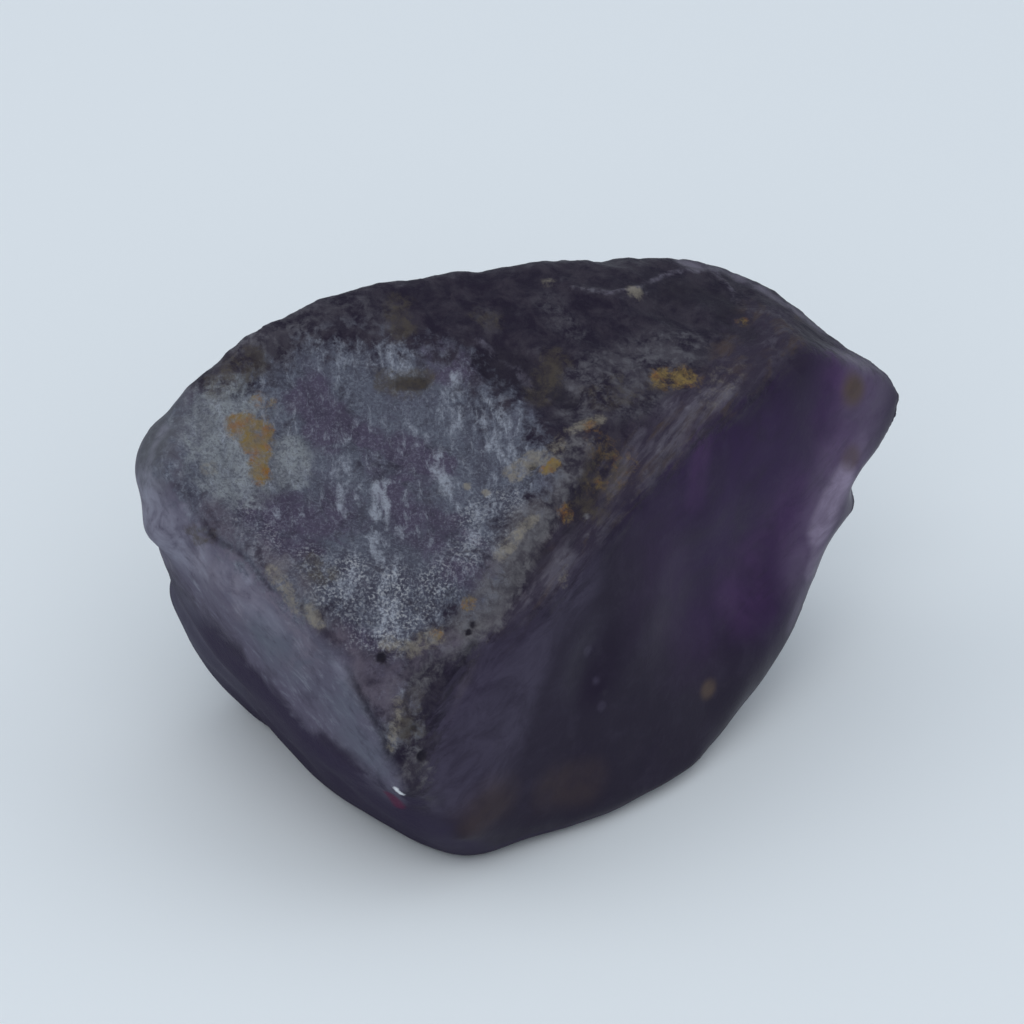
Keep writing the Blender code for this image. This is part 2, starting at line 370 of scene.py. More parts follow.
# %% Draw round the faces
FROSTED_TOP = [
    (0.06, 0.40, 0.84), (0.06, 0.50, 0.89), (0.13, 0.52, 0.91), (0.21, 0.59, 0.94), (0.28, 0.61, 0.96),
    (0.33, 0.62, 0.94), (0.38, 0.61, 0.94), (0.42, 0.59, 0.93), (0.46, 0.57, 0.89), (0.48, 0.53, 0.87),
    (0.50, 0.48, 0.84), (0.53, 0.42, 0.82), (0.53, 0.38, 0.80), (0.51, 0.34, 0.77),
    (0.48, 0.29, 0.73), (0.45, 0.20, 0.66), (0.39, 0.12, 0.59), (0.33, 0.09, 0.58), (0.27, 0.11, 0.59),
    (0.21, 0.16, 0.65), (0.16, 0.21, 0.70), (0.10, 0.27, 0.74), (0.05, 0.33, 0.79), (0.04, 0.36, 0.82),
]
BROW = [
    (-0.03, 0.55, 0.88), (0.07, 0.54, 0.90), (0.10, 0.47, 0.88), (0.09, 0.40, 0.84), (0.07, 0.36, 0.82),
    (0.06, 0.35, 0.80), (0.08, 0.31, 0.78), (0.10, 0.27, 0.74), (0.13, 0.25, 0.73), (0.16, 0.22, 0.71),
    (0.19, 0.18, 0.66), (0.21, 0.16, 0.64), (0.27, 0.11, 0.57),
    (0.29, 0.08, 0.49), (0.32, 0.04, 0.41), (0.351, 0.00, 0.30), (0.34, 0.04, 0.25), (0.29, 0.05, 0.32),
    (0.21, 0.14, 0.38), (0.16, 0.19, 0.45), (0.13, 0.23, 0.48), (0.08, 0.30, 0.53), (0.04, 0.37, 0.55),
    (-0.03, 0.34, 0.62),
]
BELLY = [
    (-0.06, 0.34, 0.64), (0.04, 0.37, 0.55), (0.08, 0.30, 0.53), (0.13, 0.23, 0.48), (0.16, 0.19, 0.45),
    (0.21, 0.14, 0.38), (0.29, 0.05, 0.32), (0.34, 0.04, 0.25), (0.41, 0.04, 0.17), (0.41, -0.10, -0.20),
    (-0.06, -0.10, -0.20),
]
GLASS = [
    (1.05, 0.86, 0.61), (0.93, 0.87, 0.71), (0.86, 0.74, 0.82), (0.81, 0.63, 0.81), (0.77, 0.57, 0.80),
    (0.73, 0.51, 0.78), (0.69, 0.45, 0.75), (0.65, 0.40, 0.72), (0.61, 0.33, 0.68), (0.57, 0.27, 0.63),
    (0.53, 0.21, 0.60), (0.48, 0.16, 0.58), (0.43, 0.12, 0.54), (0.41, 0.09, 0.50), (0.39, 0.05, 0.43),
    (0.38, 0.03, 0.34), (0.37, 0.01, 0.24), (0.38, -0.10, -0.20), (1.05, -0.10, -0.20),
]
STREAKED_BAND = [
    (0.62, 0.45, 0.82), (0.67, 0.51, 0.84), (0.72, 0.63, 0.85), (0.77, 0.77, 0.86), (0.79, 0.87, 0.85),
    (0.85, 0.85, 0.82), (0.87, 0.75, 0.82), (0.81, 0.63, 0.81), (0.73, 0.51, 0.78), (0.65, 0.40, 0.72),
    (0.61, 0.33, 0.68), (0.57, 0.27, 0.63), (0.52, 0.20, 0.59), (0.46, 0.15, 0.56), (0.42, 0.11, 0.53),
    (0.41, 0.12, 0.56), (0.46, 0.17, 0.60), (0.50, 0.22, 0.64), (0.53, 0.29, 0.70), (0.57, 0.36, 0.74),
    (0.60, 0.41, 0.78),
]
clear_of_foot = ramp(points[:, 2] / MM, 0.2, 1.0)
wedge = stroke([(0.31, 0.09, 0.57), (0.33, 0.07, 0.50), (0.34, 0.05, 0.42)], 1.3, 0.5)
frosted = np.maximum(inside(FROSTED_TOP, 1.3), 0.30 * wedge)
left_end = stroke([(0.02, 0.42, 0.70), (0.02, 0.50, 0.64), (0.05, 0.57, 0.60)], 2.8, 0.6)
brow = np.maximum(inside(BROW, 0.7), left_end)
left_foot = stroke([(0.05, 0.60, 0.53), (0.05, 0.56, 0.44), (0.05, 0.58, 0.30)], 2.6, 0.6)
belly = np.maximum(inside(BELLY, 0.8), left_foot)
glassy = inside(GLASS, 0.9)
banded = inside(STREAKED_BAND, 0.7)
under = ramp(-broad[:, 2], 0.25, 0.60)  # what looks down is as smooth and dark as the belly
rocky = np.clip(1 - frosted - brow - belly - glassy - under, 0, 1) * clear_of_foot
keep("frosted", frosted)
keep("brow", brow)
keep("belly", np.maximum(belly, under))
keep("glassy", glassy)
keep("banded", banded)
keep("rocky", rocky)

# %% [markdown]
# ## Patches on the frosted face
#
# The frost is not even. Pale flakes run down it in narrow streaks, violet shows where
# the flakes have come off, the left end has weathered to an ashen grey, and near the
# front corner the face is covered with tiny glittering grains. Each kind is a handful
# of strokes.

# %% Mark the frosted face
keep("pale_run", strokes([
    (0.55, 0.9, [(0.318, 0.385, 0.765), (0.318, 0.325, 0.735)]),
    (0.60, 0.7, [(0.31, 0.28, 0.72), (0.32, 0.22, 0.71)]),
    (0.45, 0.5, [(0.34, 0.30, 0.72), (0.34, 0.26, 0.71)]),
    (0.45, 0.5, [(0.27, 0.43, 0.80), (0.27, 0.37, 0.76), (0.26, 0.34, 0.75)]),
    (0.45, 0.5, [(0.39, 0.45, 0.80), (0.39, 0.41, 0.78), (0.40, 0.37, 0.76)]),
    (0.45, 0.4, [(0.41, 0.56, 0.90), (0.40, 0.53, 0.87)]),
    (1.30, 0.4, [(0.42, 0.53, 0.86), (0.45, 0.50, 0.84), (0.47, 0.44, 0.81)]),
    (0.80, 0.3, [(0.46, 0.39, 0.78), (0.46, 0.33, 0.74)]),
    (0.50, 0.3, [(0.44, 0.34, 0.75), (0.43, 0.25, 0.71)]),
    (0.50, 0.4, [(0.28, 0.49, 0.83), (0.28, 0.46, 0.81)]),
    (0.70, 0.5, [(0.28, 0.20, 0.70), (0.28, 0.17, 0.67)]),
    (1.10, 0.5, [(0.33, 0.22, 0.71), (0.33, 0.17, 0.66), (0.33, 0.12, 0.61)]),
    (1.40, 0.45, [(0.25, 0.60, 0.95), (0.30, 0.60, 0.93), (0.35, 0.59, 0.91)]),
]))
keep("ashen", strokes([
    (2.7, 1.0, [(0.11, 0.47, 0.88), (0.12, 0.42, 0.85), (0.13, 0.38, 0.81)]),
    (1.4, 0.9, [(0.20, 0.43, 0.81), (0.20, 0.39, 0.79)]),
    (1.2, 0.6, [(0.13, 0.49, 0.88), (0.11, 0.50, 0.90)]),
]))
keep("violet_patch", strokes([
    (1.6, 1.0, [(0.23, 0.51, 0.88), (0.25, 0.48, 0.84)]),
    (1.8, 0.9, [(0.17, 0.31, 0.75), (0.22, 0.31, 0.74), (0.26, 0.32, 0.74)]),
    (1.2, 1.0, [(0.34, 0.44, 0.80), (0.39, 0.42, 0.79)]),
    (0.9, 0.8, [(0.30, 0.47, 0.82), (0.31, 0.41, 0.78)]),
    (1.4, 0.8, [(0.19, 0.24, 0.72), (0.22, 0.25, 0.72)]),
    (1.3, 0.9, [(0.27, 0.11, 0.60), (0.31, 0.09, 0.57), (0.33, 0.06, 0.48)]),
    (1.7, 0.7, [(0.35, 0.37, 0.77), (0.39, 0.29, 0.73), (0.43, 0.23, 0.70)]),
    (1.2, 0.8, [(0.38, 0.60, 0.93), (0.43, 0.56, 0.90)]),
]))
# the glittering grains later get painted glints, with painted shade between them
keep("glittering", strokes([
    (1.1, 0.8, [(0.23, 0.22, 0.71), (0.25, 0.17, 0.67)]),
    (1.3, 1.0, [(0.28, 0.20, 0.70), (0.28, 0.15, 0.65)]),
    (1.5, 1.0, [(0.33, 0.18, 0.67), (0.33, 0.12, 0.62)]),
    (1.3, 0.9, [(0.37, 0.16, 0.63), (0.39, 0.19, 0.67)]),
    (1.1, 0.6, [(0.41, 0.23, 0.70), (0.44, 0.26, 0.71)]),
    (0.9, 0.6, [(0.43, 0.32, 0.73), (0.46, 0.35, 0.76)]),
    (1.3, 0.5, [(0.15, 0.29, 0.75), (0.19, 0.22, 0.71)]),
    (0.9, 0.7, [(0.28, 0.10, 0.59), (0.31, 0.10, 0.61)]),
    (0.9, 0.6, [(0.47, 0.28, 0.72), (0.49, 0.34, 0.77)]),
]))

# %% [markdown]
# The brow is a smooth cleavage face. It is lilac along its upper edge, where it is
# bruised, bluer lower down, and has a few patches of painted sheen, highlights laid
# into its colour. It ends in a grey knob at the left, and the belly below it has a pale
# painted sheen there.

# %% Mark the brow and the belly
keep("lilac", strokes([
    (1.0, 1.0, [(0.06, 0.32, 0.77), (0.08, 0.30, 0.76), (0.11, 0.26, 0.73), (0.16, 0.21, 0.70)]),
    (1.9, 0.9, [(0.10, 0.27, 0.67), (0.16, 0.20, 0.62), (0.21, 0.15, 0.56)]),
]))
keep("knob", strokes([
    (2.2, 1.0, [(0.03, 0.54, 0.87), (0.03, 0.44, 0.83), (0.03, 0.40, 0.81)]),
]))
# a pale painted sheen where the belly's left end catches the light
keep("painted_belly_sheen", strokes([
    (4.5, 0.65, [(0.03, 0.50, 0.44), (0.04, 0.50, 0.34), (0.07, 0.48, 0.24)]),
    (2.2, 0.80, [(0.02, 0.44, 0.58), (0.05, 0.36, 0.50)]),
]))
keep("blue_grey", strokes([
    (2.0, 1.0, [(0.18, 0.18, 0.54), (0.23, 0.12, 0.51), (0.28, 0.08, 0.45), (0.32, 0.04, 0.38)]),
]))
# painted sheen: highlights on the brow, laid into its colour
keep("painted_sheen", strokes([
    (1.9, 1.0, [(0.02, 0.37, 0.74), (0.04, 0.33, 0.69), (0.07, 0.30, 0.67)]),
    (0.5, 0.5, [(0.04, 0.46, 0.85), (0.03, 0.40, 0.81)]),
    (0.4, 0.8, [(0.07, 0.31, 0.775), (0.09, 0.29, 0.75)]),
    (0.35, 1.0, [(0.14, 0.22, 0.69), (0.15, 0.21, 0.67)]),
    (1.0, 0.5, [(0.12, 0.24, 0.66), (0.18, 0.18, 0.59)]),
    (0.5, 0.5, [(0.26, 0.10, 0.55), (0.29, 0.07, 0.49)]),
]))

# %% [markdown]
# The glassy face has a pale pink painted glow where its edge is thin and light
# shines through, is a clearer violet in its upper half, and is milky toward the front,
# with three pale specks in its lower half that are painted glints.

# %% Mark the glassy face
# painted glow: where the edge is thin, light shining through it is laid into the colour
keep("thin_edge_glow", strokes([
    (1.2, 0.95, [(0.92, 0.71, 0.50), (0.90, 0.69, 0.46), (0.89, 0.66, 0.41)]),
    (2.6, 0.25, [(0.92, 0.72, 0.52), (0.90, 0.69, 0.44), (0.88, 0.64, 0.34)]),
    (0.8, 0.3, [(0.94, 0.76, 0.56), (0.92, 0.72, 0.52)]),
    (0.9, 0.5, [(0.89, 0.66, 0.38), (0.88, 0.63, 0.32)]),
    (0.7, 0.3, [(0.88, 0.63, 0.32), (0.86, 0.57, 0.22)]),
    (2.4, 0.15, [(0.95, 0.80, 0.68), (0.93, 0.77, 0.60)]),
]))
keep("violet_heart", strokes([
    (3.2, 0.6, [(0.69, 0.44, 0.66), (0.70, 0.44, 0.55), (0.74, 0.48, 0.44)]),
    (4.5, 0.9, [(0.93, 0.80, 0.70), (0.90, 0.72, 0.62), (0.88, 0.67, 0.46)]),
    (6.0, 1.0, [(0.72, 0.51, 0.76), (0.78, 0.55, 0.67), (0.85, 0.62, 0.47), (0.79, 0.55, 0.44)]),
]))
keep("magenta", strokes([
    (2.6, 0.6, [(0.85, 0.63, 0.50), (0.86, 0.63, 0.43), (0.82, 0.58, 0.40), (0.79, 0.53, 0.36)]),
    (1.1, 0.5, [(0.86, 0.63, 0.46), (0.85, 0.62, 0.42)]),
    (3.0, 0.9, [(0.93, 0.77, 0.68), (0.92, 0.74, 0.59)]),
    (3.0, 0.2, [(0.67, 0.39, 0.57), (0.68, 0.38, 0.44), (0.71, 0.42, 0.33)]),
    (0.8, 0.5, [(0.73, 0.51, 0.78), (0.72, 0.47, 0.65)]),
]))
keep("milky_and_glints", strokes([
    (2.4, 0.1, [(0.65, 0.34, 0.52), (0.73, 0.47, 0.58), (0.75, 0.52, 0.69)]),
    (2.4, 0.25, [(0.57, 0.25, 0.50), (0.53, 0.17, 0.37), (0.50, 0.13, 0.25)]),
    (2.3, 0.9, [(0.56, 0.27, 0.63), (0.53, 0.22, 0.59), (0.51, 0.18, 0.55), (0.48, 0.12, 0.42),
                (0.46, 0.09, 0.30)]),
    (2.6, 1.0, [(0.45, 0.13, 0.54), (0.42, 0.08, 0.44), (0.40, 0.04, 0.28)]),
    (2.4, 0.6, [(0.96, 0.81, 0.70), (0.95, 0.78, 0.60)]),
    # the three dots are painted glints, pale specks over small raised lips
    (0.35, 1.0, [(0.58, 0.26, 0.44)]),
    (0.35, 0.9, [(0.59, 0.26, 0.36)]),
    (0.35, 0.9, [(0.60, 0.24, 0.31)]),
]))

# %% [markdown]
# The shoulder is nearly black where it is sound and grey where it has been rubbed. Thin
# pale ledges curve across its right half, where shells of stone have flaked off, and a
# pale bevel runs down its right edge. The last two rubbed strokes lie on the back.

# %% Mark the shoulder
keep("rubbed", strokes([
    (1.8, 0.9, [(0.58, 0.56, 0.88), (0.65, 0.63, 0.88), (0.71, 0.68, 0.87)]),
    (1.4, 0.8, [(0.61, 0.53, 0.86), (0.68, 0.55, 0.84)]),
    (0.9, 0.6, [(0.53, 0.73, 0.95), (0.55, 0.69, 0.93), (0.57, 0.67, 0.92)]),
    (0.7, 0.5, [(0.45, 0.69, 0.95), (0.46, 0.67, 0.94)]),
    (1.7, 0.8, [(0.21, 0.61, 0.96), (0.16, 0.56, 0.94), (0.12, 0.52, 0.91)]),
    (1.1, 0.8, [(0.66, 0.60, 0.87), (0.60, 0.54, 0.87), (0.56, 0.50, 0.85)]),
    (1.5, 0.5, [(0.22, 0.66, 0.98), (0.32, 0.66, 0.97)]),
    (3.2, 0.7, [(0.34, 0.87, 0.70), (0.50, 0.97, 0.58), (0.62, 0.97, 0.42)]),
    (2.2, 0.6, [(0.78, 0.97, 0.60), (0.86, 0.93, 0.45)]),
]))
keep("ledge", strokes([
    (0.30, 0.25, [(0.77, 0.86, 0.85), (0.81, 0.76, 0.84), (0.82, 0.69, 0.83)]),
    (0.26, 0.30, [(0.65, 0.81, 0.93), (0.61, 0.77, 0.94), (0.56, 0.77, 0.95)]),
    (0.26, 0.35, [(0.65, 0.81, 0.93), (0.69, 0.89, 0.90), (0.75, 0.94, 0.86), (0.77, 0.90, 0.85),
                  (0.80, 0.79, 0.85)]),
    (0.36, 0.35, [(0.44, 0.63, 0.93), (0.49, 0.59, 0.89), (0.53, 0.54, 0.86)]),
]))
keep("bevel", strokes([
    (0.6, 1.0, [(0.71, 0.94, 0.89), (0.77, 0.97, 0.84), (0.83, 0.92, 0.83), (0.89, 0.90, 0.76),
                (0.94, 0.88, 0.71), (0.99, 0.87, 0.62)]),
]))

# %% [markdown]
# Pale fibres run down the band beside the glassy face, and a few shallow runs sink
# between them and behind the ledges, with painted shade laid in them. The ridge that
# borders the frosted face is rubbed pale in some places and mauve in others.

# %% Mark the band and the ridge
keep("fibrous", strokes([
    (1.0, 0.45, [(0.77, 0.59, 0.82), (0.71, 0.52, 0.80), (0.67, 0.45, 0.77)]),
    (0.6, 0.50, [(0.66, 0.42, 0.75), (0.62, 0.36, 0.69), (0.60, 0.33, 0.67)]),
    (0.6, 0.65, [(0.65, 0.48, 0.82), (0.63, 0.45, 0.79), (0.60, 0.38, 0.73)]),
    (0.8, 0.50, [(0.73, 0.58, 0.84), (0.68, 0.53, 0.83)]),
    (0.5, 0.50, [(0.57, 0.39, 0.80), (0.55, 0.35, 0.76)]),
    (1.0, 0.60, [(0.55, 0.27, 0.67), (0.53, 0.23, 0.62), (0.50, 0.19, 0.58)]),
    (1.0, 0.40, [(0.49, 0.20, 0.62), (0.47, 0.15, 0.56), (0.45, 0.11, 0.49)]),
]))
keep("sunken_run", strokes([
    (0.6, 0.5, [(0.57, 0.33, 0.71), (0.55, 0.29, 0.69), (0.52, 0.26, 0.67)]),
    (0.7, 0.3, [(0.53, 0.27, 0.67), (0.49, 0.22, 0.64)]),
    (1.2, 0.7, [(0.70, 0.84, 0.89), (0.76, 0.84, 0.87), (0.78, 0.76, 0.85)]),
    (0.6, 0.5, [(0.435, 0.135, 0.56), (0.425, 0.11, 0.52), (0.41, 0.085, 0.48), (0.405, 0.06, 0.44)]),
    (1.0, 0.7, [(0.46, 0.60, 0.91), (0.50, 0.58, 0.88), (0.53, 0.56, 0.87)]),
    (1.0, 0.5, [(0.59, 0.37, 0.75), (0.57, 0.35, 0.74)]),
]))
keep("ridge_strip", strokes([
    (1.3, 1.0, [(0.51, 0.31, 0.74), (0.49, 0.26, 0.70), (0.45, 0.18, 0.62), (0.42, 0.13, 0.58)]),
    (1.0, 0.5, [(0.38, 0.10, 0.55), (0.35, 0.07, 0.51), (0.34, 0.04, 0.45), (0.33, 0.03, 0.40)]),
    (0.9, 0.5, [(0.50, 0.26, 0.69), (0.53, 0.33, 0.73), (0.55, 0.39, 0.79), (0.57, 0.44, 0.83)]),
    (0.9, 0.8, [(0.19, 0.21, 0.71), (0.21, 0.18, 0.67), (0.24, 0.14, 0.62)]),
    (1.2, 0.4, [(0.35, 0.05, 0.44), (0.37, 0.02, 0.33)]),
]))
keep("mauve", strokes([
    (1.0, 1.0, [(0.25, 0.13, 0.60), (0.28, 0.10, 0.57), (0.30, 0.08, 0.53), (0.32, 0.06, 0.49)]),
    (0.7, 0.8, [(0.41, 0.125, 0.58), (0.37, 0.10, 0.575), (0.33, 0.075, 0.53)]),
    (0.9, 0.6, [(0.10, 0.30, 0.77), (0.16, 0.24, 0.73), (0.21, 0.18, 0.68)]),
]))

# %% [markdown]
# ## Stains and spots
#
# Iron in the water has left rust on the stone, from pale ochre to orange, and a cream
# mineral sits along the ridges. The last two rust strokes lie on the back.

# %% Mark the rust and the cream
keep("rusty", strokes([
    (1.0, 1.0, [(0.14, 0.46, 0.85), (0.16, 0.46, 0.84), (0.16, 0.43, 0.83)]),
    (0.7, 0.9, [(0.16, 0.42, 0.82), (0.163, 0.38, 0.79)]),
    (0.6, 0.45, [(0.16, 0.51, 0.88), (0.175, 0.51, 0.87)]),
    (0.42, 0.9, [(0.527, 0.385, 0.804), (0.539, 0.395, 0.812)]),
    (0.9, 0.7, [(0.68, 0.60, 0.86), (0.71, 0.61, 0.855)]),
    (0.7, 0.6, [(0.553, 0.338, 0.732)]),
    (0.5, 0.8, [(0.43, 0.18, 0.635)]),
    (0.5, 0.6, [(0.39, 0.13, 0.60)]),
    (0.5, 0.5, [(0.785, 0.795, 0.849)]),
    (0.6, 0.6, [(0.586, 0.47, 0.845)]),
    (1.3, 0.30, [(0.60, 0.44, 0.82), (0.63, 0.43, 0.77), (0.60, 0.40, 0.76)]),
    (1.5, 0.8, [(0.42, 0.95, 0.48), (0.47, 0.97, 0.40)]),
    (0.8, 0.8, [(0.70, 0.97, 0.62)]),
]))
keep("creamy", strokes([
    (0.55, 0.65, [(0.18, 0.20, 0.70), (0.20, 0.18, 0.67), (0.21, 0.16, 0.64)]),
    (0.5, 0.9, [(0.23, 0.15, 0.64), (0.24, 0.14, 0.62)]),
    (0.7, 0.65, [(0.33, 0.10, 0.60), (0.36, 0.10, 0.59), (0.39, 0.13, 0.60)]),
    (0.4, 0.6, [(0.34, 0.06, 0.49), (0.34, 0.04, 0.46), (0.33, 0.03, 0.39)]),
    (0.5, 0.7, [(0.47, 0.25, 0.70), (0.49, 0.28, 0.72), (0.51, 0.31, 0.74)]),
    (0.5, 0.4, [(0.55, 0.25, 0.63), (0.55, 0.27, 0.65)]),
    (0.7, 0.6, [(0.530, 0.410, 0.815), (0.545, 0.430, 0.825)]),
    (0.8, 0.8, [(0.49, 0.395, 0.79), (0.51, 0.41, 0.81)]),
    (0.28, 1.0, [(0.427, 0.380, 0.766)]),
    (0.28, 0.9, [(0.451, 0.365, 0.762)]),
    (0.5, 0.8, [(0.56, 0.46, 0.84), (0.595, 0.488, 0.848)]),
    (0.4, 0.6, [(0.541, 0.45, 0.83)]),
    (0.6, 0.9, [(0.642, 0.791, 0.923)]),
    (0.5, 0.5, [(0.532, 0.781, 0.960)]),
    (1.1, 0.3, [(0.75, 0.62, 0.84), (0.77, 0.65, 0.84), (0.74, 0.58, 0.83)]),
    (0.7, 0.5, [(0.10, 0.37, 0.82)]),
]))

# %% [markdown]
# Brown dirt fills some of the hollows, and the last two strokes of it lie on the back.
# A few brown spots glow in the glassy face. At the very front a tiny facet's flash is
# painted in as a white highlight, with a dark red glow below it, and a fainter painted
# highlight sits beside the band.

# %% Mark the dirt, the spots and the glints
keep("brown_dirt", strokes([
    (0.9, 0.8, [(0.32, 0.56, 0.89), (0.35, 0.55, 0.88), (0.37, 0.56, 0.89)]),
    (1.1, 0.8, [(0.52, 0.55, 0.86), (0.54, 0.60, 0.91)]),
    (1.0, 0.7, [(0.34, 0.69, 0.99), (0.34, 0.64, 0.95)]),
    (0.9, 0.5, [(0.44, 0.69, 0.96), (0.46, 0.68, 0.95)]),
    (0.9, 0.6, [(0.23, 0.21, 0.71), (0.25, 0.20, 0.69)]),
    (0.7, 0.8, [(0.08, 0.29, 0.72), (0.10, 0.27, 0.73)]),
    (0.9, 0.5, [(0.36, 0.06, 0.49), (0.36, 0.03, 0.42)]),
    (0.45, 0.9, [(0.352, 0.04, 0.455), (0.350, 0.04, 0.425)]),
    (1.2, 0.7, [(0.11, 0.52, 0.91), (0.15, 0.56, 0.94)]),
    (1.6, 0.6, [(0.61, 0.42, 0.79), (0.58, 0.37, 0.73)]),
    (1.4, 0.5, [(0.60, 0.54, 0.87), (0.65, 0.58, 0.86)]),
    (2.6, 0.7, [(0.22, 0.81, 0.40), (0.34, 0.89, 0.32)]),
    (2.0, 0.6, [(0.60, 0.97, 0.70), (0.68, 0.98, 0.72)]),
]))
keep("brown_glow", strokes([
    (1.6, 0.35, [(0.44, 0.06, 0.18), (0.46, 0.09, 0.20)]),
    (1.5, 0.28, [(0.54, 0.16, 0.16), (0.58, 0.20, 0.14)]),
    (1.0, 0.95, [(0.93, 0.77, 0.69)]),
    (0.8, 0.60, [(0.93, 0.73, 0.54)]),
    (0.6, 1.00, [(0.74, 0.41, 0.20)]),
]))
# painted highlights: the white glints
keep("white_glint", strokes([
    (0.24, 0.9, [(0.337, 0.01, 0.30), (0.345, 0.01, 0.285)]),
    (0.32, 0.40, [(0.580, 0.348, 0.716)]),
]))
keep("ruby", strokes([
    (0.45, 0.8, [(0.33, 0.04, 0.26), (0.34, 0.05, 0.22)]),
]))

# %% [markdown]
# ## Seams, pits and lips
#
# Some relief has a place of its own: the crack under the brow's edge, the groove beside
# the front corner, small pits where crystals of another mineral fell out, and the
# raised lip round the hollow behind. These are strokes too, and a Displace modifier
# with no texture pushes the skin straight in or out along them.

# %% Mark what is pushed in and what stands out
keep("seam", strokes([
    (0.22, 0.7, [(0.10, 0.27, 0.73), (0.13, 0.24, 0.72), (0.15, 0.22, 0.71), (0.18, 0.19, 0.66)]),
    (0.24, 0.7, [(0.27, 0.11, 0.57), (0.28, 0.09, 0.53), (0.30, 0.06, 0.46)]),
    (0.28, 0.8, [(0.30, 0.06, 0.46), (0.32, 0.04, 0.41), (0.33, 0.03, 0.37)]),
    (0.35, 0.6, [(0.435, 0.135, 0.56), (0.425, 0.11, 0.52), (0.41, 0.085, 0.48), (0.405, 0.06, 0.44)]),
    (0.50, 0.3, [(0.08, 0.50, 0.89), (0.08, 0.41, 0.85), (0.06, 0.37, 0.83), (0.04, 0.355, 0.80)]),
    (0.60, 0.6, [(0.43, 0.60, 0.925), (0.48, 0.55, 0.88), (0.53, 0.55, 0.86), (0.56, 0.53, 0.85)]),
]))
keep("pit", strokes([
    (0.29, 1.0, [(0.320, 0.089, 0.573)]),
    (0.20, 0.9, [(0.430, 0.144, 0.592)]),
    (0.24, 0.8, [(0.435, 0.155, 0.60)]),
    (0.32, 0.9, [(0.371, 0.030, 0.367)]),
    (0.45, 0.6, [(0.34, 0.555, 0.885), (0.37, 0.555, 0.885)]),
    (0.25, 0.7, [(0.51, 0.40, 0.80)]),
    (0.30, 0.6, [(0.36, 0.045, 0.43)]),
]))
keep("lip", strokes([
    (0.45, 1.0, [(0.55, 0.79, 0.96), (0.58, 0.77, 0.95), (0.62, 0.77, 0.93), (0.65, 0.80, 0.92),
                 (0.70, 0.87, 0.89)]),
    (0.30, 0.8, [(0.532, 0.38, 0.80), (0.542, 0.40, 0.81)]),
    (0.25, 0.7, [(0.59, 0.27, 0.43)]),
    (0.25, 0.7, [(0.60, 0.25, 0.34)]),
]))

# %% [markdown]
# ## Fine relief
#
# The rest of the relief belongs to whole faces. It is carved with a Displace modifier
# and a procedural texture, held to its own face by a vertex group, and applied before
# the next. An empty object is the texture's ruler: its scale sets the unit to a
# millimetre and can draw the grain out, and its turn sets which way the grain runs.


# %% Carving and pressing
def carve(name, grain, depth, group, stretch=(1, 1, 1), turn=(0, 0, 0), detail=2):
    """Push the skin in and out by a cloudy texture whose grain is in millimetres."""
    bpy.ops.object.empty_add(rotation=turn)
    ruler = bpy.context.active_object
    ruler.scale = Vector(stretch) * MM
    texture = bpy.data.textures.new(name, "CLOUDS")
    texture.noise_scale = grain
    texture.noise_depth = detail
    push = stone.modifiers.new(name, "DISPLACE")
    push.texture = texture
    push.texture_coords = "OBJECT"
    push.texture_coords_object = ruler
    push.strength = depth * MM
    push.mid_level = 0.5
    push.vertex_group = group + "_group"
    bpy.ops.object.select_all(action="DESELECT")
    bpy.context.view_layer.objects.active = stone
    bpy.ops.object.modifier_apply(modifier=push.name)
    bpy.data.objects.remove(ruler)
    print("carved", name)


def press(name, depth, group):
    """Push the skin straight in, or out where the depth is negative, in millimetres."""
    push = stone.modifiers.new(name, "DISPLACE")
    push.strength = -depth * MM
    push.mid_level = 0.0
    push.vertex_group = group + "_group"
    bpy.context.view_layer.objects.active = stone
    bpy.ops.object.modifier_apply(modifier=push.name)
    print("pressed", name)


def turn_along(direction):
    """The turn that lays an x axis along a direction."""
    return direction.to_track_quat("X", "Z").to_euler()


ridge_turn = turn_along(at(0.78, 0.70, 0.85) - at(0.47, 0.15, 0.56))
flow_turn = turn_along(Vector((0.1, -0.85, -0.50)))
print("the ridge runs at, degrees:", [round(math.degrees(angle)) for angle in ridge_turn])

# %% [markdown]
# The smooth faces come first. The construction model's facets still show faintly, and
# on a cleavage face they would catch the light, so a Smooth modifier held to each face
# irons them out.

# %% Polish the smooth faces
for name, rounds in (("glassy", 60), ("brow", 16), ("belly", 90)):
    polish = stone.modifiers.new(name, "SMOOTH")
    polish.factor = 0.5
    polish.iterations = rounds
    polish.vertex_group = name + "_group"
    bpy.ops.object.modifier_apply(modifier=polish.name)
print("smooth faces polished")

# %% [markdown]
# The shoulder gets broad lumps with crumbs on them. The band is drawn out into
# splinters that run along the ridge. The frosted face is etched into flakes that run
# down it, is granular at its front corner, and crumbles along the ridge. The strokes
# are pressed in or out last. The foot is left alone, so the stone still rests flat.

# %% Carve each face
carve("lumps", 1.3, 0.20, "rocky", detail=3)
carve("crumbs", 0.5, 0.09, "rocky", detail=2)
carve("splinters", 0.6, 0.22, "banded", (5, 1, 1), ridge_turn)
carve("flakes", 0.55, 0.17, "frosted", (2.2, 1, 1), flow_turn, 3)
carve("granules", 0.24, 0.09, "glittering", detail=1)
carve("crumbling", 0.45, 0.14, "ridge_strip", detail=2)
press("seams", 0.16, "seam")
press("pits", 0.20, "pit")
press("lips", -0.09, "lip")
press("ledges", -0.10, "ledge")
press("fibres", -0.06, "fibrous")
press("sunken runs", 0.08, "sunken_run")

# %% [markdown]
# Raised edges lose their violet first: handling and the tumble down from the vein
# bruise them white, and a painted highlight is laid on them as well. Hollows get painted
# shade. Both are found by comparing each point with the average of its neighbourhood,
# so one measure serves for both.

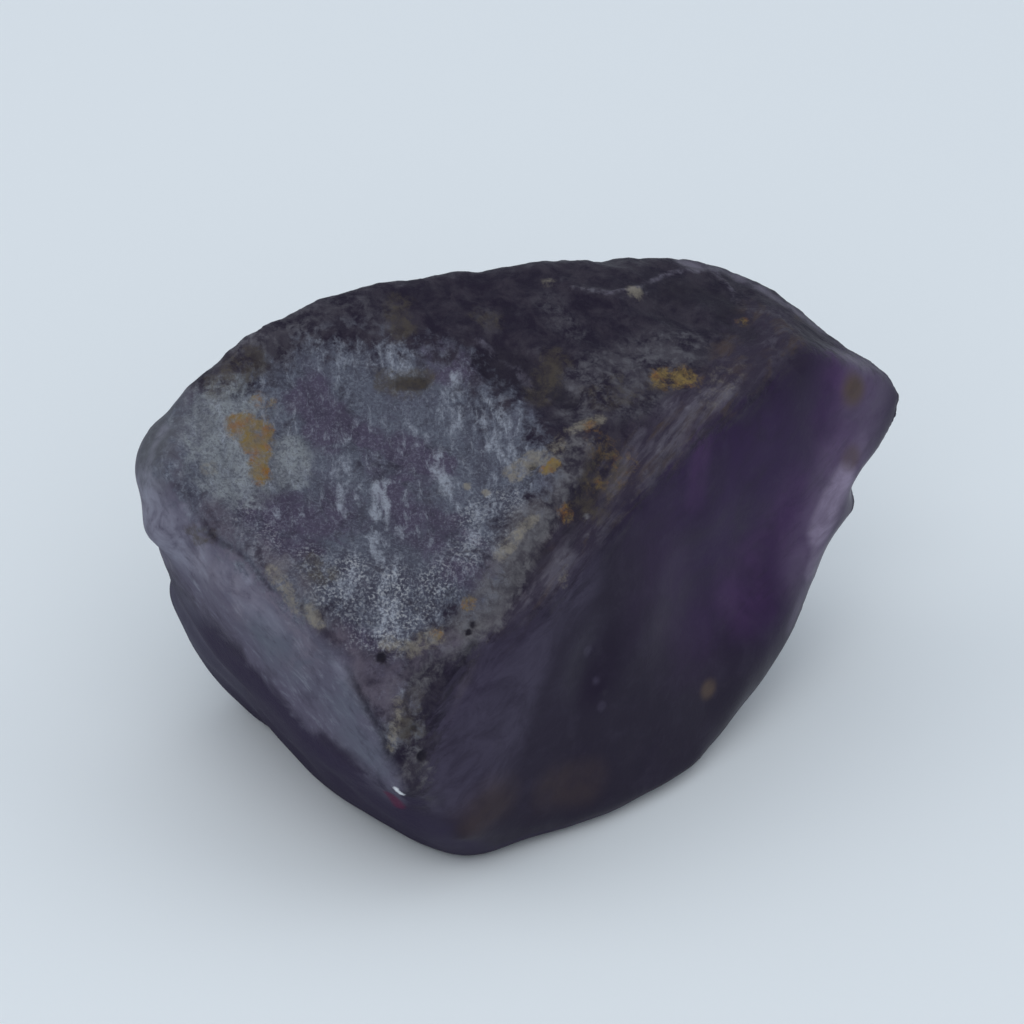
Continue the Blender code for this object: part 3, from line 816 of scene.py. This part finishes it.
# %% Find the worn edges and the hollows
NEIGHBOURHOOD_ROUNDS = 14
points, normals = read_points()
average = soften(points, NEIGHBOURHOOD_ROUNDS)
proud = np.einsum("ij,ij->i", points - average, normals) / MM
# raised edges: real bruising and a painted highlight
keep("worn_and_highlit", ramp(proud, 0.02, 0.10))
# hollows: painted shade
keep("hollow", ramp(-proud, 0.015, 0.08))

# %% [markdown]
# ## The mineral's material
#
# One material covers the whole stone, because the real stone is all one mineral. It is
# built in layers, from the inside out: the violet body, the rock of the shoulder, the
# smooth brow, the frost, pale bruised edges and dark hollows, and stains on top. Each
# layer is a colour and a mask, and a Mix node lays it over what is below.


# %% Nodes and wires
fluorite = bpy.data.materials.new("frosted_violet_fluorite")
fluorite.use_nodes = True
tree = fluorite.node_tree
shader = tree.nodes["Principled BSDF"]


def node(kind, **settings):
    """A new node, with its settings; a socket is set by its name."""
    made = tree.nodes.new(kind)
    for name, value in settings.items():
        if hasattr(made, name):
            setattr(made, name, value)
        else:
            made.inputs[name.replace("_", " ")].default_value = value
    return made


def wire(output, target):
    """Join an output to an input."""
    tree.links.new(output, target)


def mark(name):
    """One of the stone's stored marks."""
    return node("ShaderNodeAttribute", attribute_name=name).outputs["Fac"]


print("nodes to begin with:", [part.name for part in tree.nodes])

# %% [markdown]
# Masks are worked out with a few sums: a product, where both masks must agree, a sum,
# where one moves the other's border, and a slope, which sets where a mask begins, where
# it is full and how strong it is.


# %% Sums and slopes
def compute(operation, first, second=0.0, clamp=False):
    """A sum, product or comparison of two values or outputs."""
    made = node("ShaderNodeMath", operation=operation, use_clamp=clamp)
    for socket, value in zip(made.inputs, (first, second)):
        if isinstance(value, (int, float)):
            socket.default_value = value
        else:
            wire(value, socket)
    return made.outputs[0]


def times(*values):
    """The product of any number of values."""
    product = values[0]
    for value in values[1:]:
        product = compute("MULTIPLY", product, value)
    return product


def slope(value, start, end, lowest=0.0, highest=1.0):
    """Map a value from one span to another, with easy ends."""
    made = node("ShaderNodeMapRange", interpolation_type="SMOOTHSTEP")
    wire(value, made.inputs["Value"])
    for name, number in zip(("From Min", "From Max", "To Min", "To Max"), (start, end, lowest, highest)):
        made.inputs[name].default_value = number
    return made.outputs[0]


print("masks can be multiplied, added and sloped")

# %% [markdown]
# A layer is a Mix node. The patterns come from Noise nodes in real millimetres, so that
# a grain has the same size wherever it is used, and a pattern can be drawn out into
# streaks along an axis.


# %% Layers and patterns
def layer(below, colour, cover):
    """Lay a colour over what is below, where the cover mask is 1."""
    made = node("ShaderNodeMix", data_type="RGBA")
    colour_inputs = [socket for socket in made.inputs if socket.type == "RGBA"]
    wire(cover, made.inputs[0])
    for socket, value in zip(colour_inputs, (below, colour)):
        if isinstance(value, tuple):
            socket.default_value = (*value, 1)
        else:
            wire(value, socket)
    return next(socket for socket in made.outputs if socket.type == "RGBA")


def noise(grain, detail=3, rough=0.5, warp=0.0, source=None):
    """A cloudy pattern around one half, whose grain is in millimetres."""
    made = node("ShaderNodeTexNoise")
    made.inputs["Scale"].default_value = 1 / grain
    made.inputs["Detail"].default_value = detail
    made.inputs["Roughness"].default_value = rough
    made.inputs["Distortion"].default_value = warp
    wire(source or here, made.inputs["Vector"])
    return made.outputs["Fac"]


def curls(value, width):
    """Thin winding lines, where a cloudy pattern passes through one half."""
    return slope(compute("ABSOLUTE", compute("SUBTRACT", value, 0.5)), 0.0, width, 1.0, 0.0)


def drawn_out(turn, stretch):
    """Coordinates stretched along a turned axis, for streaks."""
    made = node("ShaderNodeMapping", vector_type="TEXTURE")
    made.inputs["Rotation"].default_value = turn
    made.inputs["Scale"].default_value = (stretch, 1, 1)
    wire(here, made.inputs["Vector"])
    return made.outputs[0]


print("patterns can be cloudy, curly or drawn out")

# %% [markdown]
# These patterns serve many layers. They go from broad clouds of colour to grains of a
# ninth of a millimetre.

# %% The shared patterns
millimetres = node("ShaderNodeMapping", Scale=(1 / MM, 1 / MM, 1 / MM))
wire(node("ShaderNodeTexCoord").outputs["Object"], millimetres.inputs["Vector"])
here = millimetres.outputs[0]
clouds = noise(3.2, 4, 0.55, 0.6)
haze = noise(1.8, 5, 0.6, 0.5)
mottle = noise(1.1, 6, 0.66, 0.4)
tufts = noise(0.42, 5, 0.68, 0.3)
grains = noise(0.11, 2, 0.6, 0.4)
down_face = drawn_out(flow_turn, 2.0)
flakes = noise(0.36, 5, 0.66, 0.45, down_face)
print("nodes after the shared patterns:", len(tree.nodes))


# %% [markdown]
# No border on a stone is a clean line. A border's mask is frayed twice: a broad noise
# moves it about, and a fine noise breaks it into crumbs. Where one pattern should rule
# a border, it is shifted by that pattern alone. A stain is frayed by a noise of its
# own, and is thinner in the gaps between the raised grains.


# %% Fray borders and stains
def frayed(cover, reach=0.3):
    """A mask whose border wanders broadly and frays finely."""
    wander = compute("ADD", slope(haze, 0.3, 0.7, -reach, reach), slope(tufts, 0.3, 0.7, -reach, reach))
    return times(slope(compute("ADD", cover, times(wander, 0.8)), 0.05, 0.95), slope(cover, 0.0, 0.3))


def shifted(name, pattern, inward, outward):
    """A mark whose border is moved about by a cloudy pattern."""
    return compute("ADD", mark(name), slope(pattern, 0.35, 0.65, inward, outward))


def stain(name, grain, strongest):
    """A stain's mask: ragged at the rim, thinner between the raised grains."""
    ragged = compute("ADD", mark(name), slope(noise(grain, 6, 0.80, 0.3), 0.28, 0.72, -0.65, 0.50))
    patch = times(slope(ragged, 0.05, 0.95), slope(mark(name), 0.0, 0.6))
    return times(patch, slope(tufts, 0.30, 0.64, 0.45, 1.0), strongest)


print("borders can be frayed or shifted, and stains are ragged")

# %% [markdown]
# The body is almost black where it is thick and broken, and violet where it is clear.
# Slow clouds in it stand for the growth zones that every fluorite crystal has.

# %% The violet body
BODY_DARK = (0.0125, 0.0075, 0.0220)
BODY_VIOLET = (0.0240, 0.0090, 0.0475)
MAGENTA = (0.0660, 0.0280, 0.1000)
MILK = (0.0520, 0.0430, 0.0760)
PAINTED_EDGE_GLOW = (0.2500, 0.2050, 0.3000)
BROWN_GLOW = (0.0760, 0.0500, 0.0400)
veils = noise(1.1, 5, 0.66, 0.8, drawn_out(ridge_turn, 2.0))
body = layer(BODY_DARK, BODY_VIOLET, times(mark("violet_heart"), slope(clouds, 0.30, 0.62, 0.40, 1.0)))
body = layer(body, MAGENTA, times(mark("magenta"), slope(haze, 0.35, 0.65, 0.35, 0.85)))
# milky colour, and three painted glints from the same mark
milk_and_glint_share = slope(mark("milky_and_glints"), 0.0, 1.0, 0.03, 0.85)
body = layer(body, MILK, times(milk_and_glint_share, slope(veils, 0.32, 0.64, 0.40, 1.0)))
body = layer(body, MILK, times(slope(mottle, 0.45, 0.70), 0.14))
# painted glow of light shining through the thin edge
body = layer(body, PAINTED_EDGE_GLOW, times(mark("thin_edge_glow"), slope(veils, 0.30, 0.62, 0.60, 1.0)))
body = layer(body, BROWN_GLOW, times(mark("brown_glow"), slope(haze, 0.25, 0.60, 0.4, 1.0)))
print("nodes after the body:", len(tree.nodes))

# %% [markdown]
# The rock of the shoulder is a dark violet slate with brown-grey grime in it. The band
# is drawn out into fibres along the ridge, some pale and some brown, and the rubbed
# places, the ledges and the ridge are paler.

# %% The rock of the shoulder and the band
SLATE = (0.0090, 0.0050, 0.0180)
GRIME = (0.0290, 0.0230, 0.0370)
RUBBED = (0.0900, 0.0870, 0.1050)
BAND = (0.0275, 0.0200, 0.0395)
FIBRE = (0.1000, 0.0910, 0.1200)
BROWN_FIBRE = (0.0620, 0.0420, 0.0330)
RIDGE = (0.1450, 0.1400, 0.1520)
BEVEL = (0.1300, 0.1180, 0.1620)
SHADOW = (0.0120, 0.0095, 0.0190)
MAUVE = (0.1050, 0.0880, 0.1200)
rock = layer(SLATE, GRIME, slope(mottle, 0.40, 0.66))
rock = layer(rock, RUBBED, times(slope(mark("rubbed"), 0.0, 1.0, 0.10, 0.9), slope(tufts, 0.42, 0.70)))
rock = layer(rock, RUBBED, times(mark("rubbed"), slope(mottle, 0.38, 0.62), 0.35))
rock = layer(rock, BEVEL, times(frayed(mark("ledge")), slope(tufts, 0.30, 0.60, 0.2, 0.8)))
streaks = noise(0.26, 4, 0.65, 0.35, drawn_out(ridge_turn, 6.0))
strands = noise(0.8, 4, 0.6, 0.4, drawn_out(ridge_turn, 4.0))
brown_strands = noise(0.9, 4, 0.6, 0.5, drawn_out(ridge_turn, 2.5))
band = layer(BAND, BROWN_FIBRE, times(slope(brown_strands, 0.48, 0.68), 0.6))
band = layer(band, FIBRE, times(slope(streaks, 0.44, 0.68), slope(strands, 0.38, 0.64, 0.12, 0.60)))
fibre_share = shifted("fibrous", strands, -0.25, 0.25)
band = layer(band, FIBRE, times(slope(fibre_share, 0.20, 0.90), slope(streaks, 0.34, 0.62, 0.25, 0.95)))
rock = layer(rock, band, frayed(mark("banded")))
rock = layer(rock, RIDGE, times(frayed(mark("ridge_strip")), slope(tufts, 0.32, 0.70, 0.30, 0.80)))
rock = layer(rock, BEVEL, times(mark("bevel"), slope(mottle, 0.35, 0.65, 0.25, 0.90)))
rock = layer(rock, MAUVE, times(mark("mauve"), slope(mottle, 0.35, 0.62, 0.2, 0.9)))
# painted shade in the sunken runs
rock = layer(rock, SHADOW, times(mark("sunken_run"), slope(mottle, 0.35, 0.65, 0.45, 0.85)))
glass_share = shifted("glassy", streaks, -0.30, 0.30)
skin = layer(body, rock, slope(glass_share, 0.10, 0.90, 1.0, 0.0))
print("nodes after the rock and the band:", len(tree.nodes))

# %% [markdown]
# The brow is a smooth face, so it has only clouds of colour, patches of painted sheen
# and fine scratches that run along it. The belly below it is plainer and darker, with a
# pale painted sheen at its left end. The scratches have the frost's own pale and dark
# colours.

# %% The brow and the belly
FROST_DARK = (0.0280, 0.0240, 0.0440)
FROST_PALE = (0.2950, 0.3200, 0.3850)
BROW_VIOLET = (0.0930, 0.0840, 0.1260)
LILAC = (0.1500, 0.1320, 0.1760)
BLUE_GREY = (0.0980, 0.1030, 0.1420)
KNOB = (0.0760, 0.0780, 0.0960)
PAINTED_SHEEN = (0.2100, 0.2080, 0.2700)
BELLY_VIOLET = (0.0275, 0.0205, 0.0465)
PAINTED_BELLY_SHEEN = (0.0880, 0.0850, 0.1220)
brow_colour = layer(BROW_VIOLET, KNOB, mark("knob"))
brow_colour = layer(brow_colour, LILAC, times(mark("lilac"), slope(haze, 0.38, 0.62)))
brow_colour = layer(brow_colour, BLUE_GREY, times(mark("blue_grey"), slope(haze, 0.35, 0.62, 1.0, 0.3)))
# painted highlights on the brow
brow_colour = layer(brow_colour, PAINTED_SHEEN, times(mark("painted_sheen"), slope(mottle, 0.35, 0.62, 0.3, 0.9)))
brow_turn = turn_along(at(0.33, 0.03, 0.37) - at(0.10, 0.27, 0.72))
scratches = noise(0.34, 5, 0.70, 0.4, drawn_out(brow_turn, 3.0))
scratch_share = times(slope(scratches, 0.50, 0.72), slope(haze, 0.40, 0.62, 0.35, 1.0), 0.35)
brow_colour = layer(brow_colour, FROST_PALE, scratch_share)
brow_colour = layer(brow_colour, FROST_DARK, times(slope(scratches, 0.48, 0.32), 0.35))
brow_colour = layer(brow_colour, FROST_DARK, times(slope(mottle, 0.46, 0.34), 0.25))
# painted sheen on the belly's left end
belly_colour = layer(BELLY_VIOLET, PAINTED_BELLY_SHEEN, times(mark("painted_belly_sheen"), slope(haze, 0.30, 0.65, 0.55, 1.0)))
skin = layer(skin, belly_colour, slope(mark("belly"), 0.10, 0.90))
skin = layer(skin, brow_colour, slope(shifted("brow", haze, -0.2, 0.2), 0.15, 0.85))
print("nodes after the brow and the belly:", len(tree.nodes))

# %% [markdown]
# The frost is a skin of etched flakes. Seen close, it is a tangle of pale curls on a
# darker ground, drawn out down the face, with violet showing through in patches. Where
# a pale run is marked, more of the flakes show. The grain of the glittering corner is
# finer, has much more contrast, and lies in clumps: painted glints sit on its grains and
# painted shade lies in the gaps between them.

# %% The frost
FROST_GREY = (0.0880, 0.0960, 0.1320)
FROST_VIOLET = (0.0640, 0.0540, 0.0930)
FROST_ASH = (0.2150, 0.2330, 0.2550)
GRANULE_GLINT = (0.3900, 0.4000, 0.4300)
broad_flakes = noise(1.3, 3, 0.5, 0.6, down_face)
worms = curls(noise(0.30, 3, 0.6, 0.6), 0.06)
frost = layer(FROST_GREY, FROST_VIOLET, slope(shifted("violet_patch", haze, -0.35, 0.40), 0.15, 0.90))
ash_share = shifted("ashen", mottle, -0.25, 0.25)
frost = layer(frost, FROST_ASH, times(slope(ash_share, 0.15, 0.95), slope(tufts, 0.35, 0.62, 0.5, 1.0), 0.9))
frost = layer(frost, FROST_DARK, times(slope(broad_flakes, 0.52, 0.38), 0.35))
run_share = shifted("pale_run", broad_flakes, -0.10, 0.30)
shown = compute("ADD", flakes, slope(run_share, 0.0, 1.0, 0.0, 0.21))
frost = layer(frost, FROST_PALE, slope(shown, 0.52, 0.80, 0.0, 0.80))
frost = layer(frost, FROST_PALE, times(worms, slope(grains, 0.40, 0.60), 0.18))
clumps = slope(noise(0.75, 4, 0.65, 0.5), 0.38, 0.60)
glitter = times(mark("glittering"), slope(clumps, 0.0, 1.0, 0.35, 1.0))
# painted shade in the gaps between the grains
grain_gap_shade = times(slope(grains, 0.52, 0.38), slope(mark("glittering"), 0.0, 1.0, 0.35, 0.55))
frost = layer(frost, FROST_DARK, grain_gap_shade)
# painted glints on the raised grains
granule_glints = times(slope(grains, 0.48, 0.68), glitter)
frost = layer(frost, GRANULE_GLINT, times(granule_glints, 0.75))
frost = layer(frost, MAUVE, times(mark("mauve"), slope(mottle, 0.35, 0.62, 0.3, 0.9)))
frost = layer(frost, RIDGE, times(mark("ridge_strip"), slope(mottle, 0.35, 0.62, 0.0, 0.6)))
# painted shade: thin dark lines for the shadows in small cracks and steps of the frost
crack_shade = curls(noise(1.2, 4, 0.6, 0.9, down_face), 0.018)
frost = layer(frost, SHADOW, times(crack_shade, slope(clouds, 0.40, 0.60), slope(tufts, 0.40, 0.60), 0.55))
skin = layer(skin, frost, frayed(mark("frosted"), 0.45))
print("nodes after the frost:", len(tree.nodes))

# %% [markdown]
# Bruised edges are pale, partly from wear and partly from a painted highlight, and
# hollows are dark with painted shade. Both masks come from the shape, so they follow
# every chip. They are kept faint on the glassy face and the belly. Seams and pits get
# painted shade from their own marks.

# %% Bruised edges, hollows, seams and pits
BRUISE_AND_HIGHLIGHT = (0.2000, 0.1940, 0.2300)
wear_share = slope(compute("ADD", mark("glassy"), mark("belly")), 0.0, 0.6, 1.0, 0.12)
# pale raised edges, partly wear and partly painted highlight
skin = layer(skin, BRUISE_AND_HIGHLIGHT, times(mark("worn_and_highlit"), slope(tufts, 0.40, 0.64, 0.06, 0.50), wear_share))
# painted shade in the hollows
skin = layer(skin, SHADOW, times(mark("hollow"), wear_share, 0.5))
# painted shade in the seams and the pits
skin = layer(skin, SHADOW, times(slope(mark("seam"), 0.2, 1.0), slope(tufts, 0.38, 0.62, 0.60, 0.1)))
skin = layer(skin, SHADOW, slope(mark("pit"), 0.10, 0.7, 0.0, 0.95))
print("nodes after the edges and hollows:", len(tree.nodes))

# %% [markdown]
# Stains go over everything: dirt first, then the cream mineral, then rust. The ruby
# glow and the white glints, which are painted highlights, are laid on last.

# %% Rust, cream, dirt and glints
RUST_PALE = (0.1850, 0.1260, 0.0420)
RUST_DEEP = (0.2050, 0.0900, 0.0180)
CREAM = (0.2300, 0.2060, 0.1680)
BROWN_DIRT = (0.0600, 0.0490, 0.0370)
GLINT = (0.70, 0.72, 0.76)
RUBY = (0.0850, 0.0130, 0.0450)
skin = layer(skin, BROWN_DIRT, stain("brown_dirt", 0.9, 0.75))
skin = layer(skin, CREAM, stain("creamy", 0.4, 0.70))
rust_colour = layer(RUST_PALE, RUST_DEEP, slope(noise(0.55, 4, 0.6), 0.44, 0.64))
skin = layer(skin, rust_colour, stain("rusty", 0.45, 1.0))
skin = layer(skin, RUBY, slope(mark("ruby"), 0.1, 0.9, 0.0, 0.9))
# painted highlight: the white glints
skin = layer(skin, GLINT, slope(mark("white_glint"), 0.25, 0.9))
wire(skin, shader.inputs["Base Color"])
print("nodes after the stains:", len(tree.nodes))

# %% [markdown]
# Polish changes from face to face. The glassy face is the smoothest, under a thin
# bloom, the belly is the dullest, and the rest lies between, with a little more flash
# on the granules and the glint. Bump gives the grain that is too fine for the mesh.

# %% Polish and grain
FLUORITE_IOR = 1.434
roughness = slope(mark("glassy"), 0.0, 1.0, 0.58, 0.38)
roughness = compute("ADD", roughness, times(mark("belly"), 0.3))
roughness = compute("ADD", roughness, slope(clouds, 0.35, 0.65, -0.05, 0.05))
flash = compute("ADD", times(granule_glints, 0.2), times(mark("white_glint"), 0.2))
wire(compute("SUBTRACT", roughness, flash, clamp=True), shader.inputs["Roughness"])
shader.inputs["IOR"].default_value = FLUORITE_IOR
shader.inputs["Specular IOR Level"].default_value = 0.22
height = compute("ADD", times(tufts, 0.8), times(noise(0.15, 3, 0.65), 0.35))
height = compute("ADD", height, times(streaks, mark("banded"), 0.9))
height = compute("ADD", height, times(flakes, mark("frosted"), 1.1))
grain_share = slope(mark("glittering"), 0.0, 1.0, 0.15, 0.6)
height = compute("ADD", height, times(grains, grain_share, mark("frosted")))
quiet = slope(compute("MAXIMUM", mark("glassy"), times(mark("brow"), 0.75)), 0.2, 0.9, 1.0, 0.14)
bump = node("ShaderNodeBump", Strength=0.8, Distance=0.10 * MM)
wire(compute("MULTIPLY", height, quiet), bump.inputs["Height"])
wire(bump.outputs["Normal"], shader.inputs["Normal"])
stone.data.materials.clear()
stone.data.materials.append(fluorite)
bpy.ops.object.select_all(action="DESELECT")
stone.select_set(True)
bpy.context.view_layer.objects.active = stone
bpy.ops.object.shade_smooth()
print("skin triangles:", sum(len(face.vertices) - 2 for face in stone.data.polygons))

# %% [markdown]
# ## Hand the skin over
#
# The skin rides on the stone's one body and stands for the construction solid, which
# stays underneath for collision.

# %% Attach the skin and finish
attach(stone, "root")
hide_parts("rough_fluorite")
